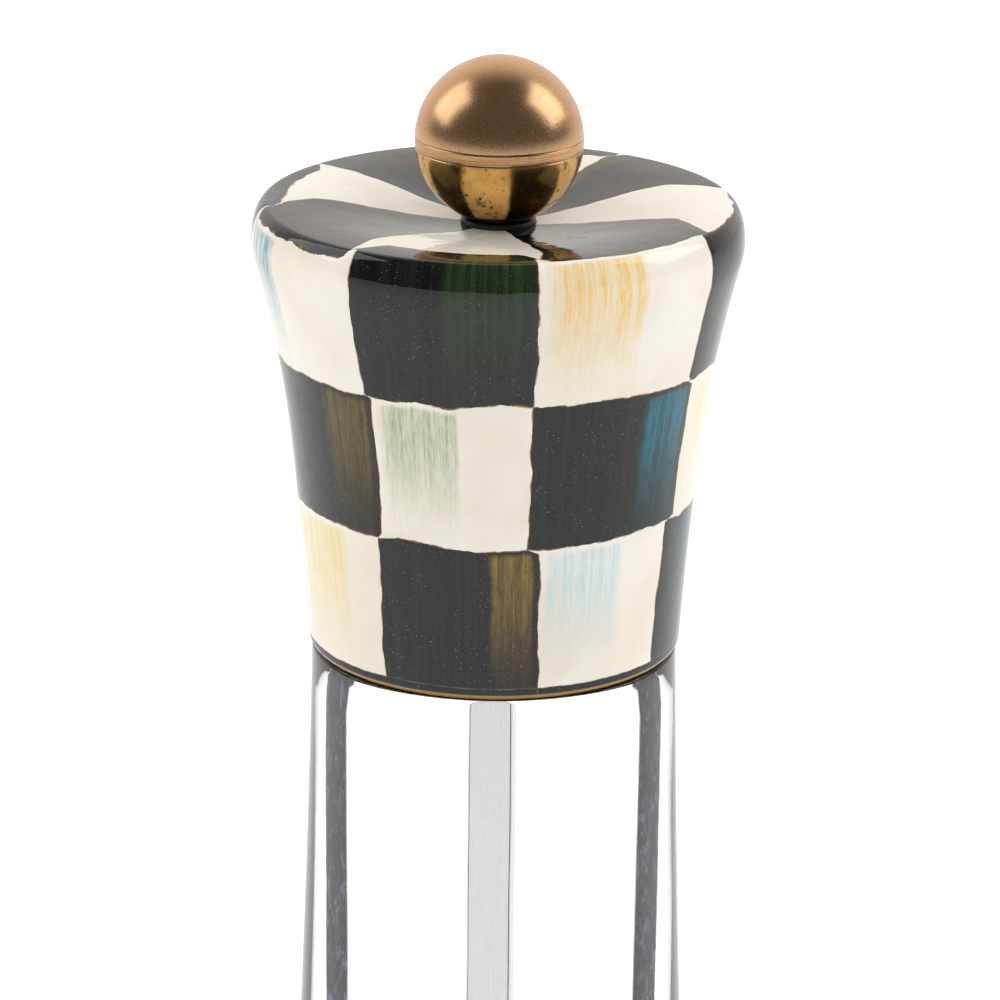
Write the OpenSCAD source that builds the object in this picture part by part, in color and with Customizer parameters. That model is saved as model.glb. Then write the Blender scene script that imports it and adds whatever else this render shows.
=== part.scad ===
// Pepper mill with a flared wooden head, a brass ball knob, a clear body and a square shaft.
// Millimetres, +Z up. The origin is the middle of the face that stands on the table.

/* [Clear body] */
// Height of the shoulder that the head stands on
shoulder_z = 122; // [100:1:170]
// Outer radius at the shoulder
shoulder_r = 24.43; // [21:0.01:32]
// Outward lean of the side just below the shoulder, in degrees from upright
shoulder_lean = 1.35; // [0.5:0.05:2]
// Lean of the side where the foot begins to spread
waist_lean = 3.1; // [2.2:0.1:4]
// Lean of the side at the bottom of the foot
foot_lean = 13; // [8:1:18]
// Height at which the foot begins to spread
foot_h = 34; // [24:1:44]
// Width of the shoulder, from the neck to the outer side
shoulder_w = 1.83; // [1.5:0.01:2.2]
// Height of the neck that stands up inside the head
neck_h = 6; // [4:0.5:9]
// Thickness of the neck's wall
neck_wall = 1.4; // [1:0.1:2]
// How much wider the mouth is than the bore, in radius
mouth_flare = 0.7; // [0.3:0.1:1.2]
// Height over which the mouth opens out, below the shoulder
mouth_h = 7; // [3:1:12]
// Height of the funnel below the straight bore
funnel_h = 13; // [9:1:20]
// Height of the ceiling of the recess under the body
recess_z = 14; // [12:0.5:17]

/* [Base ring] */
// Thickness of the non-slip ring
ring_t = 0.8; // [0.6:0.1:1.2]
// Gap from the ring's edges to the recess and to the foot's rounded edge
ring_inset = 1.4; // [1:0.1:2]

/* [Wooden head] */
// Height of the head's crest above the shoulder
head_h = 60.3; // [50:0.1:75]
// How far the head's foot stands out past the shoulder, in radius
head_overhang = 0.43; // [0.2:0.01:0.8]
// Rounding of the foot's outer edge
head_foot_round = 1.3; // [0.8:0.1:1.6]
// Lean of the side at the foot
head_foot_lean = 3.6; // [1:0.1:5]
// Lean of the side at the bend
head_mid_lean = 6.1; // [5.2:0.1:8]
// Lean of the side where the rim begins to roll over
head_rim_lean = 15.3; // [10:0.1:20]
// Height of the bend above the foot
head_mid_h = 26.7; // [20:0.1:33]
// Height of the rolled rim, from its widest place up to the crest
rim_h = 4.6; // [3.5:0.1:6]
// How far the rim rolls inwards, from its widest place to the crest
rim_w = 2; // [1.5:0.1:3]
// Depth of the dished top, from the crest to its middle
dish_depth = 2.9; // [2:0.1:4]
// Clearance of the head's socket round the neck
neck_fit = 0.08; // [0.05:0.01:0.1]
// Air above the neck inside the socket
neck_gap = 0.6; // [0.3:0.1:1]

/* [Knob] */
// Diameter of the ball
ball_d = 22; // [18:0.1:27]
// Width of the flat rim round the bore under the ball
ball_flat_w = 1.22; // [1:0.01:1.5]
// Height of the upper turned line above the equator
band_up = 0.5; // [0.3:0.1:0.8]
// Depth of the lower turned line below the equator
band_down = 1.0; // [0.8:0.1:1.4]
// Depth of the two turned lines
line_depth = 0.12; // [0.08:0.01:0.2]
// How far the washer stands out past the ball's flat, in radius
washer_rim = 1.1; // [0.8:0.1:1.4]
// Thickness of that washer
washer_t = 0.8; // [0.5:0.1:1.2]
// Length of the bushing under the washer
bushing_h = 7.4; // [5:0.1:10]

/* [Shaft] */
// Width across the flats of the square shaft
shaft_w = 6; // [5:0.1:7.2]
// Turn of the shaft about the axis, in degrees
shaft_turn = -6.5; // [-45:0.5:45]
// Height of the shaft's lower end
shaft_low_z = 2.6; // [2:0.1:3]
// Metal left between the stud and the shaft's flats
stud_wall = 0.5; // [0.4:0.1:0.8]
// Length of the stud inside the shaft
stud_in = 20; // [10:1:25]
// How far the stud stands into the ball
stud_out = 11; // [8:0.5:12]
// Clearance of every sliding or turning fit on the shaft
shaft_fit = 0.05; // [0.03:0.01:0.08]
// Clearance of the stud in the ball's thread, which is drawn as a plain bore
thread_fit = 0.08; // [0.05:0.01:0.1]

/* [Grinder] */
// Inner radius of the fixed ring at its narrowest
burr_r = 9.9; // [8.5:0.1:12]
// How much wider its lower end is
burr_spread = 0.7; // [0.4:0.1:1]
// How much wider the upper end of the feed cone is
feed_spread = 2.5; // [2:0.1:3]
// How much wider the throat is
throat_spread = 3.3; // [3.1:0.1:4]
// Wall of the fixed ring at the throat
stator_wall = 1.8; // [1.5:0.1:2.4]
// How far its flange stands out
stator_lip = 2.2; // [1.6:0.1:3]
// Thickness of its flange
stator_flange_t = 1.5; // [1:0.1:2]
// Height of the fixed ring above its flange
stator_h = 13; // [11:0.5:16]
// Height of the grinding teeth
burr_h = 6; // [5:0.5:7.5]
// Height of the feed cone
feed_h = 3; // [2.5:0.5:4]
// Gap between the fixed ring's teeth and the turning cone
burr_gap = 0.25; // [0.15:0.01:0.4]
// Number of fine teeth on the fixed ring
fine_teeth = 24; // [18:6:30]
// Number of feed teeth on the fixed ring
feed_teeth = 12; // [6:6:12]
// Number of fine teeth on the cone
cone_teeth = 20; // [16:1:24]
// Wall of the cone's neck outside the shaft's corners
cone_wall = 1.16; // [0.9:0.01:1.5]

/* [Bridge and spring] */
// Width of the steel bridge
bridge_w = 15; // [14:0.1:18]
// Thickness of the bridge
bridge_t = 1.5; // [1.2:0.1:1.8]
// Height of the middle of the bridge above the table
bridge_low_z = 4.5; // [4:0.1:5.2]
// Gap from the turning cone to the inner face of each leg
leg_gap = 1.65; // [1:0.05:2.5]
// Wall of the bush's spigot outside the shaft's corners
bush_wall = 0.96; // [0.8:0.01:1.3]
// Thickness of the bush's flange
bush_flange_t = 1; // [0.8:0.1:1.2]
// Thickness of the spring's wire
wire_d = 0.8; // [0.6:0.05:0.95]
// Gap from the spring's wire to the retaining clip inside it
spring_gap = 0.6; // [0.4:0.1:1]
// Turns of the spring
spring_turns = 3.5; // [3:0.25:4.25]
// Width of the retaining clip's ring
clip_w = 2.1; // [1.6:0.1:2.6]

/* [Fasteners] */
// Radius of the bridge screws
screw_r = 1.25; // [1:0.05:1.5]
// Gap from the fixed ring's flange to each bridge screw
screw_gap = 0.85; // [0.6:0.05:1.2]
// Radius of their heads
screw_head_r = 2.4; // [2:0.1:2.9]
// Height of their heads
screw_head_h = 1.5; // [1.2:0.1:1.8]
// Wall of the threaded inserts
insert_wall = 0.75; // [0.6:0.05:1]
// Length of the threaded inserts
insert_h = 6; // [5:0.5:8]
// Radius of the drive plate let into the head
plate_r = 13; // [11:0.5:16]
// Thickness of the drive plate
plate_t = 1.6; // [1.3:0.1:2]
// Number of wood screws that hold the drive plate
plate_screws = 3; // [2:1:4]
// Distance from the plate's edge to the middle of each wood screw
plate_screw_inset = 3.5; // [3:0.1:4.5]
// Radius of the wood screws
wood_screw_r = 1.4; // [1.2:0.1:1.7]
// Length of each wood screw
wood_screw_h = 11; // [8:1:14]

/* [Hidden] */
$fn = 96;

past = 1;             // how far a cut runs past the face it opens
bore_fit = 0.36;      // air between the shaft's corners and the head's long bore
hole_fit = 0.15;      // air between a screw and the hole it passes through
seat_fit = 0.1;       // air round a plate or washer in its seat
bushing_fit = 0.3;    // air between the stud and the bushing round it
shoulder_round = 0.5; // rounding of the shoulder's outer edge
base_round = 1.0;     // rounding of the foot's bottom edge
rotor_lift = 0.9;     // height of the cone's lower end above the fixed ring's
rotor_washer_t = 0.8; // thickness of the washer under the cone
clip_t = 0.8;         // thickness of the retaining clip
clip_bite = 0.5;      // how far the clip's inner edge clears the shaft's flats
flange_rim = 0.4;     // how far the bush's flange stands out past the spring
washer_reach = 1.5;   // how far the cone's washer stands out past the spring
spigot_low = 0.4;     // how far the bush's spigot reaches below the bridge
recess_rim = 1.8;     // gap from a bridge screw's head to the recess's wall
bridge_end_gap = 0.8; // gap from the bridge's ends to the recess's wall
thread_spare = 2;     // empty depth of the ball's bore beyond the stud
fine_groove_w = 0.9;  // width of the fixed ring's fine grooves
feed_groove_w = 1.5;  // width of its feed grooves
cone_groove_w = 0.8;  // width of the cone's fine grooves
cone_feed_w = 1.3;    // width of the cone's feed grooves
cone_feed_teeth = 8;  // number of the cone's feed grooves
groove_skew = 8;      // sideways lean of the fine grooves, in degrees
groove_past = 3;      // how much longer a groove's cut is than the face it crosses
flat_turns = 0.75;    // turns at each end of the spring that lie flat
clip_mouth = 1.2;     // opening of the retaining clip, as a share of its inner radius
plate_screw_turn = 60; // turn of the wood screws about the axis, in degrees
screw_end_gap = 0.5;  // empty depth of an insert beyond the screw's end
slot_w = 0.6;         // width of the slots in the screw heads
slot_share = 0.6;     // how far a slot reaches, as a share of the head's radius
stud_seat = 2;        // gap from the square shaft's top to the bushing
side_steps = 10;      // steps along a long curve of an outline
roll_steps = 6;       // steps round a small rounding

// Body, from the outside in
neck_r = shoulder_r - shoulder_w;
mouth_r = neck_r - neck_wall;
bore_r = mouth_r - mouth_flare;

// Fixed ring, from the inside out
burr_low_r = burr_r + burr_spread;
feed_r = burr_r + feed_spread;
throat_r = burr_r + throat_spread;
stator_r = throat_r + stator_wall;
stator_flange_r = stator_r + stator_lip;
screw_x = stator_flange_r + screw_gap + screw_r;
recess_r = screw_x + screw_head_r + recess_rim;
insert_r = screw_r + insert_wall;
stator_low_z = recess_z - stator_flange_t;
stator_top_z = recess_z + stator_h;
burr_top_z = stator_low_z + burr_h;
feed_z = burr_top_z + feed_h;
funnel_z = stator_top_z + funnel_h;

// Shaft and its stack of parts
shaft_corner = shaft_w / 2 * sqrt(2);
stud_r = shaft_w / 2 - stud_wall;
cone_top_r = shaft_corner + cone_wall;
clip_in_r = shaft_w / 2 + clip_bite;
clip_out_r = clip_in_r + clip_w;
spring_r = clip_out_r + spring_gap + wire_d / 2;
bush_r = shaft_corner + bush_wall;
bush_flange_r = spring_r + wire_d / 2 + flange_rim;
bush_top_z = bridge_low_z + bridge_t + bush_flange_t;
rotor_low_z = stator_low_z + rotor_lift;
rotor_low_r = burr_low_r - burr_gap - burr_spread * rotor_lift / burr_h;
clip_z = rotor_low_z - rotor_washer_t - clip_t;
rotor_washer_r = spring_r + wire_d / 2 + washer_reach;
bridge_leg_x = rotor_low_r + leg_gap;

// Head, from the shoulder up
head_foot_r = shoulder_r + head_overhang;
socket_r = neck_r + neck_fit;
socket_z = shoulder_z + neck_h + neck_gap;
crest_z = shoulder_z + head_h;
seat_z = crest_z - dish_depth;
head_bore_r = shaft_corner + bore_fit;
plate_screw_x = plate_r - plate_screw_inset;

// Knob and what it stands on
ball_r = ball_d / 2;
ball_bore_r = stud_r + thread_fit;
ball_flat_r = ball_bore_r + ball_flat_w;
washer_r = ball_flat_r + washer_rim;
bushing_in_r = stud_r + bushing_fit;
bushing_out_r = washer_r + seat_fit;
flat_z = seat_z + washer_t;
ball_z = flat_z + sqrt(ball_r * ball_r - ball_flat_r * ball_flat_r);
shaft_top_z = seat_z - bushing_h - stud_seat;
stud_top_z = flat_z + stud_out;

// A stretch of outline whose lean goes evenly from a0 to a1 degrees over a height h.
// It starts at [r, z] and runs up or down, as way is 1 or -1, growing outwards.
function lean_curve(r, z, h, a0, a1, way) =
    let (big = h / (sin(a1) - sin(a0)))
    [for (i = [0:side_steps]) let (a = a0 + (a1 - a0) * i / side_steps)
        [r + big * (cos(a0) - cos(a)), z + way * big * (sin(a) - sin(a0))]];

// Points round a circle from angle a0 to a1
function arc(x, z, r, a0, a1, steps) =
    [for (i = [0:steps]) let (a = a0 + (a1 - a0) * i / steps) [x + r * cos(a), z + r * sin(a)]];

function last(list) = list[len(list) - 1];

// Outline of the clear body's side, from the shoulder down to the foot
upper_side = lean_curve(shoulder_r, shoulder_z - shoulder_round,
                        shoulder_z - shoulder_round - foot_h, shoulder_lean, waist_lean, -1);
lower_side = lean_curve(last(upper_side)[0], foot_h, foot_h - ring_t - base_round,
                        waist_lean, foot_lean, -1);
foot_r = last(lower_side)[0];

// Outline of the head's side, from its foot up to the start of the rim
head_side_z = shoulder_z + head_foot_round;
head_low = lean_curve(head_foot_r, head_side_z, head_mid_h, head_foot_lean, head_mid_lean, 1);
// The rim is part of an ellipse, which begins where its lean is the side's
rim_start = atan(tan(head_rim_lean) * rim_h / rim_w);
rim_z = crest_z - rim_h;
head_high_h = rim_z - rim_h * sin(rim_start) - head_side_z - head_mid_h;
head_high = lean_curve(last(head_low)[0], head_side_z + head_mid_h, head_high_h,
                       head_mid_lean, head_rim_lean, 1);
rim_r = last(head_high)[0] - rim_w * cos(rim_start);
rim_roll = [for (i = [1:roll_steps]) let (a = (90 + rim_start) * i / roll_steps - rim_start)
            [rim_r + rim_w * cos(a), rim_z + rim_h * sin(a)]];
// The dish is level at the crest and again in its middle
dish = [for (i = [1:side_steps]) let (part = 1 - i / side_steps)
        [rim_r * part, seat_z + dish_depth * (1 - cos(180 * part)) / 2]];

module ring(outer, inner, z0, z1) {
    translate([0, 0, z0]) difference() {
        cylinder(r = outer, h = z1 - z0);
        translate([0, 0, -past]) cylinder(r = inner, h = z1 - z0 + 2 * past);
    }
}

// A square bar or hole that turns with the shaft
module square_bar(width, z0, z1) {
    rotate([0, 0, shaft_turn]) translate([-width / 2, -width / 2, z0])
        cube([width, width, z1 - z0]);
}

// V grooves along a cone, from [r0, z0] to [r1, z1], skewed sideways like burr teeth
module cone_grooves(count, width, r0, z0, r1, z1, skew, extra) {
    run = sqrt((r1 - r0) * (r1 - r0) + (z1 - z0) * (z1 - z0)) + extra;
    for (i = [0:count - 1]) rotate([0, 0, 360 * i / count])
        translate([(r0 + r1) / 2, 0, (z0 + z1) / 2]) rotate([skew, 0, 0])
            rotate([0, atan2(r1 - r0, z1 - z0), 0]) rotate([0, 0, 45])
                cube([width, width, run], center = true);
}

module body() {
    color([0.93, 0.95, 0.96, 0.45]) difference() {
        rotate_extrude() polygon(concat(
            [[0, shoulder_z + neck_h], [neck_r, shoulder_z + neck_h], [neck_r, shoulder_z]],
            arc(shoulder_r - shoulder_round, shoulder_z - shoulder_round, shoulder_round,
                90, 0, 4),
            [for (i = [1:side_steps]) upper_side[i]],
            [for (i = [1:side_steps]) lower_side[i]],
            arc(foot_r - base_round, ring_t + base_round, base_round, -foot_lean, -90, 6),
            [[0, ring_t]]));
        chamber();
        translate([0, 0, ring_t - past]) cylinder(r = recess_r, h = recess_z - ring_t + past);
        translate([0, 0, recess_z - past]) cylinder(r = stator_r, h = stator_h + past);
        for (side = [0, 180]) rotate([0, 0, side])
            translate([screw_x, 0, recess_z - past]) cylinder(r = insert_r, h = insert_h + past);
    }
}

// The space for the pepper: funnel, bore and wider mouth
module chamber() {
    rotate_extrude() polygon([
        [0, stator_top_z - past], [throat_r, stator_top_z - past], [throat_r, stator_top_z],
        [bore_r, funnel_z], [bore_r, shoulder_z - mouth_h], [mouth_r, shoulder_z],
        [mouth_r, shoulder_z + neck_h + past], [0, shoulder_z + neck_h + past]]);
}

module base_ring() {
    color("dimgray") ring(foot_r - base_round - ring_inset, recess_r + ring_inset, 0, ring_t);
}

module stator() {
    color("silver") difference() {
        union() {
            translate([0, 0, recess_z]) cylinder(r = stator_r, h = stator_h);
            translate([0, 0, stator_low_z]) cylinder(r = stator_flange_r, h = stator_flange_t);
        }
        rotate_extrude() polygon([
            [0, stator_low_z - past], [burr_low_r, stator_low_z - past],
            [burr_low_r, stator_low_z], [burr_r, burr_top_z], [feed_r, feed_z],
            [throat_r, stator_top_z], [throat_r, stator_top_z + past],
            [0, stator_top_z + past]]);
        cone_grooves(fine_teeth, fine_groove_w, burr_low_r, stator_low_z, burr_r, burr_top_z,
                     groove_skew, groove_past);
        cone_grooves(feed_teeth, feed_groove_w, burr_r, burr_top_z, feed_r, feed_z,
                     0, groove_past);
    }
}

module rotor() {
    shoulder_drop = 0.1;   // keeps the cone's shoulder just below the fixed ring's narrowest
    neck_spread = 0.4;     // how much wider the neck is at its foot
    cone_mid_r = burr_r - burr_gap;
    neck_z = feed_z + shoulder_drop;
    color("silver") difference() {
        rotate_extrude() polygon([
            [0, rotor_low_z], [rotor_low_r, rotor_low_z],
            [cone_mid_r, burr_top_z - shoulder_drop], [cone_top_r + neck_spread, neck_z],
            [cone_top_r, stator_top_z], [0, stator_top_z]]);
        cone_grooves(cone_teeth, cone_groove_w, rotor_low_r, rotor_low_z, cone_mid_r, burr_top_z,
                     -groove_skew, groove_past);
        cone_grooves(cone_feed_teeth, cone_feed_w, cone_mid_r, burr_top_z,
                     cone_top_r + neck_spread, neck_z, 0, groove_past - past);
        square_bar(shaft_w + 2 * shaft_fit, rotor_low_z - past, stator_top_z + past);
    }
}

module rotor_washer() {
    color("gainsboro")
        ring(rotor_washer_r, shaft_corner + seat_fit, rotor_low_z - rotor_washer_t, rotor_low_z);
}

module retaining_clip() {
    mouth = clip_in_r * clip_mouth;
    color("gray") difference() {
        ring(clip_out_r, clip_in_r, clip_z, clip_z + clip_t);
        rotate([0, 0, shaft_turn]) translate([0, -mouth / 2, clip_z - past])
            cube([clip_out_r + past, mouth, clip_t + 2 * past]);
    }
}

// Height of the spring's wire along its turns: the end turns lie flat
function spring_rise(t) =
    let (free = spring_turns - 2 * flat_turns)
    t < flat_turns ? 0 : t > flat_turns + free ? 1
        : (1 - cos(180 * (t - flat_turns) / free)) / 2;

module spring() {
    sides = 10;
    per_turn = 28;
    steps = round(spring_turns * per_turn);
    low_z = bush_top_z + wire_d / 2;
    high_z = rotor_low_z - rotor_washer_t - wire_d / 2;
    end_lift = wire_d / 2;
    points = [for (i = [0:steps]) let (t = i / per_turn,
                  z = low_z + end_lift * min(t, flat_turns) / flat_turns
                      + (high_z - low_z - 2 * end_lift) * spring_rise(t)
                      + end_lift * max(0, t - spring_turns + flat_turns) / flat_turns)
              for (k = [0:sides - 1]) let (q = 360 * k / sides,
                  r = spring_r + wire_d / 2 * cos(q))
              [r * cos(360 * t), r * sin(360 * t), z + wire_d / 2 * sin(q)]];
    walls = [for (i = [0:steps - 1]) for (k = [0:sides - 1]) let (n = (k + 1) % sides)
             [i * sides + k, i * sides + n, (i + 1) * sides + n, (i + 1) * sides + k]];
    caps = [[for (k = [sides - 1:-1:0]) k], [for (k = [0:sides - 1]) steps * sides + k]];
    color("silver") polyhedron(points = points, faces = concat(walls, caps), convexity = 8);
}

module bridge_bush() {
    color("whitesmoke") difference() {
        union() {
            translate([0, 0, bridge_low_z - spigot_low])
                cylinder(r = bush_r, h = spigot_low + bridge_t + bush_flange_t);
            translate([0, 0, bridge_low_z + bridge_t])
                cylinder(r = bush_flange_r, h = bush_flange_t);
        }
        square_bar(shaft_w + 2 * shaft_fit, bridge_low_z - spigot_low - past, bush_top_z + past);
    }
}

// Steel strap: a low middle that carries the bush, two legs, and two ends under the flange
module bridge() {
    end_low_z = stator_low_z - bridge_t;
    end_x = recess_r - bridge_end_gap;
    leg_x = bridge_leg_x + bridge_t;
    color("lightsteelblue") difference() {
        intersection() {
            translate([-end_x, -bridge_w / 2, bridge_low_z])
                cube([2 * end_x, bridge_w, stator_low_z - bridge_low_z]);
            cylinder(r = end_x, h = recess_z);
        }
        translate([-bridge_leg_x, -bridge_w, bridge_low_z + bridge_t])
            cube([2 * bridge_leg_x, 2 * bridge_w, recess_z]);
        for (side = [-1, 1]) {
            translate([side > 0 ? leg_x : -leg_x - recess_r, -bridge_w, bridge_low_z - past])
                cube([recess_r, 2 * bridge_w, end_low_z - bridge_low_z + past]);
            translate([side * screw_x, 0, bridge_low_z])
                cylinder(r = screw_r + hole_fit, h = recess_z);
        }
        translate([0, 0, bridge_low_z - past])
            cylinder(r = bush_r + shaft_fit, h = bridge_t + 2 * past);
    }
}

module bridge_screws() {
    seat = stator_low_z - bridge_t;
    shank_low = seat - screw_head_h / 2;
    slot_reach = screw_head_r * slot_share;
    color("silver") for (side = [0, 180]) rotate([0, 0, side]) translate([screw_x, 0, 0])
        difference() {
            union() {
                translate([0, 0, seat - screw_head_h])
                    cylinder(r = screw_head_r, h = screw_head_h);
                translate([0, 0, shank_low])
                    cylinder(r = screw_r, h = recess_z + insert_h - screw_end_gap - shank_low);
            }
            for (turn = [25, 115]) rotate([0, 0, turn])
                translate([-slot_reach, -slot_w / 2, shank_low - screw_head_h / 2 - past])
                    cube([2 * slot_reach, slot_w, past + screw_head_h / 2]);
        }
}

module screw_inserts() {
    color("darkgoldenrod") for (side = [0, 180]) rotate([0, 0, side])
        translate([screw_x, 0, 0]) ring(insert_r, screw_r, recess_z, recess_z + insert_h);
}

module shaft() {
    color("lightgray") difference() {
        square_bar(shaft_w, shaft_low_z, shaft_top_z);
        ring(shaft_corner + past, clip_in_r, clip_z, clip_z + clip_t);
        translate([0, 0, shaft_top_z - stud_in]) cylinder(r = stud_r, h = stud_in + past);
    }
}

module shaft_stud() {
    tip = 0.6;
    color("silver") {
        translate([0, 0, shaft_top_z - stud_in])
            cylinder(r = stud_r, h = stud_top_z - tip - shaft_top_z + stud_in);
        translate([0, 0, stud_top_z - tip]) cylinder(r1 = stud_r, r2 = stud_r - tip, h = tip);
    }
}

module head() {
    color("antiquewhite") difference() {
        rotate_extrude() polygon(concat(
            [[0, shoulder_z]],
            arc(head_foot_r - head_foot_round, head_side_z, head_foot_round, -90, 0, 8),
            [for (i = [1:side_steps]) head_low[i]],
            [for (i = [1:side_steps]) head_high[i]],
            rim_roll, dish));
        translate([0, 0, shoulder_z - past])
            cylinder(r = socket_r, h = socket_z - shoulder_z + past);
        translate([0, 0, socket_z - past]) cylinder(r = plate_r + seat_fit, h = plate_t + past);
        translate([0, 0, socket_z]) cylinder(r = head_bore_r, h = seat_z - socket_z - bushing_h);
        translate([0, 0, seat_z - bushing_h]) cylinder(r = bushing_out_r, h = bushing_h + past);
        wood_screw_shapes();
    }
}

// The wood screws, which also cut their own holes in the head
module wood_screw_shapes() {
    cone_h = 1.3;
    tip_h = 2;
    for (i = [0:plate_screws - 1]) rotate([0, 0, 360 * i / plate_screws + plate_screw_turn])
        translate([plate_screw_x, 0, socket_z]) {
            cylinder(r1 = wood_screw_r + cone_h, r2 = wood_screw_r, h = cone_h);
            cylinder(r = wood_screw_r, h = wood_screw_h - tip_h);
            translate([0, 0, wood_screw_h - tip_h])
                cylinder(r1 = wood_screw_r, r2 = wood_screw_r / 4, h = tip_h);
        }
}

module drive_plate_screws() {
    slot_l = 3;
    color("silver") difference() {
        wood_screw_shapes();
        for (i = [0:plate_screws - 1]) rotate([0, 0, 360 * i / plate_screws + plate_screw_turn])
            translate([plate_screw_x - slot_l / 2, -slot_w / 2, socket_z - past])
                cube([slot_l, slot_w, past + slot_w]);
    }
}

module drive_plate() {
    color("lightsteelblue") difference() {
        translate([0, 0, socket_z]) cylinder(r = plate_r, h = plate_t);
        square_bar(shaft_w + 2 * shaft_fit, socket_z - past, socket_z + plate_t + past);
        wood_screw_shapes();
    }
}

module head_bushing() {
    color("black") ring(bushing_out_r, bushing_in_r, seat_z - bushing_h, seat_z);
}

module knob_washer() {
    color("black") ring(washer_r, bushing_in_r, seat_z, flat_z);
}

module knob() {
    color("goldenrod") difference() {
        translate([0, 0, ball_z]) sphere(r = ball_r);
        translate([0, 0, flat_z - ball_d]) cylinder(r = ball_r, h = ball_d);
        translate([0, 0, flat_z - past])
            cylinder(r = ball_bore_r, h = past + stud_out + thread_spare);
        turned_line(band_up);
        turned_line(-band_down);
    }
}

// A fine V line turned into the ball at a height from its middle
module turned_line(up) {
    edge = sqrt(ball_r * ball_r - up * up);
    rotate_extrude() polygon([
        [edge - line_depth, ball_z + up], [edge + line_depth, ball_z + up + 2 * line_depth],
        [edge + line_depth, ball_z + up - 2 * line_depth]]);
}

body();
base_ring();
stator();
bridge();
bridge_screws();
screw_inserts();
bridge_bush();
spring();
shaft();
shaft_stud();
rotor();
rotor_washer();
retaining_clip();
head();
drive_plate();
drive_plate_screws();
head_bushing();
knob_washer();
knob();
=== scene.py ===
# %% [markdown]
# # A pepper mill, from the imported frame to a finished picture
# The mill is a turned wooden head with hand-painted checks, a brass ball that holds it down,
# a clear acrylic body, and a steel grinder on a square aluminium shaft.
# The frame gives every part's place in metres, so nothing here is fitted by eye. We load it
# first.

# %% Load the imported mill
import math
import bmesh
import bpy
from mathutils import Matrix, Vector, noise


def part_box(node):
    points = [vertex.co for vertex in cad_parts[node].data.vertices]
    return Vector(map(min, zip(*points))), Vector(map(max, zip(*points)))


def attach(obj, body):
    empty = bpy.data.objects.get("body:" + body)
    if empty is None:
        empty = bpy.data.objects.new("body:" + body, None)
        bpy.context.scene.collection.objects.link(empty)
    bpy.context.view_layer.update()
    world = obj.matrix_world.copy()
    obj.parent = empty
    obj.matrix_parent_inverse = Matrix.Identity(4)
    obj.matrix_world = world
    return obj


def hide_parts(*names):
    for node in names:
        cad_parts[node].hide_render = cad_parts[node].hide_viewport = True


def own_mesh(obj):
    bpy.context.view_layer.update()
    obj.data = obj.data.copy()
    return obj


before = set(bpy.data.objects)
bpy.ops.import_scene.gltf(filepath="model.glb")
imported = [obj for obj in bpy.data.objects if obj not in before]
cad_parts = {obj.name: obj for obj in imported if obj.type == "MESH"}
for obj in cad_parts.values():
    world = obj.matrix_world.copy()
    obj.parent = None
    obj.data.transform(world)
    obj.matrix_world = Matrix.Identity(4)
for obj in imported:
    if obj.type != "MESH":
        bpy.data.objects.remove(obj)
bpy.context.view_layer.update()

MM = 0.001

# %% [markdown]
# ## Camera
# The mill is seen from a little above, close up, with a long lens, so that the head and the top
# of the clear body fill the frame. A camera is aimed by giving it a point to look at, a
# distance and a rise above the horizon. A small roll makes the mill lean as it does when a
# camera isn't quite level.

# %% Aim the camera
LOOK = Vector((0.0006, 0, 0.1412))
DISTANCE = 0.5985
RISE = math.radians(18.7)
ROLL = math.radians(0.63)

camera = bpy.data.objects.new("camera", bpy.data.cameras.new("camera"))
camera.data.lens = 162
camera.data.sensor_width = 36
camera.location = LOOK + DISTANCE * Vector((0, -math.cos(RISE), math.sin(RISE)))
camera.rotation_euler = (LOOK - camera.location).to_track_quat("-Z", "Y").to_euler()
camera.rotation_euler.rotate_axis("Z", ROLL)
bpy.context.scene.collection.objects.link(camera)
bpy.context.scene.camera = camera
print("camera at", [round(v, 3) for v in camera.location])

# %% [markdown]
# ## A short way to write finishes
# A finish is a material made of nodes. Written out in full, each node takes several lines, so
# this helper adds a node, sets its values and links its inputs in one call. Every finish below
# is built with it. Plain numbers go straight onto the shader's own sockets, because a game or
# web viewer reads them from there.

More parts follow.
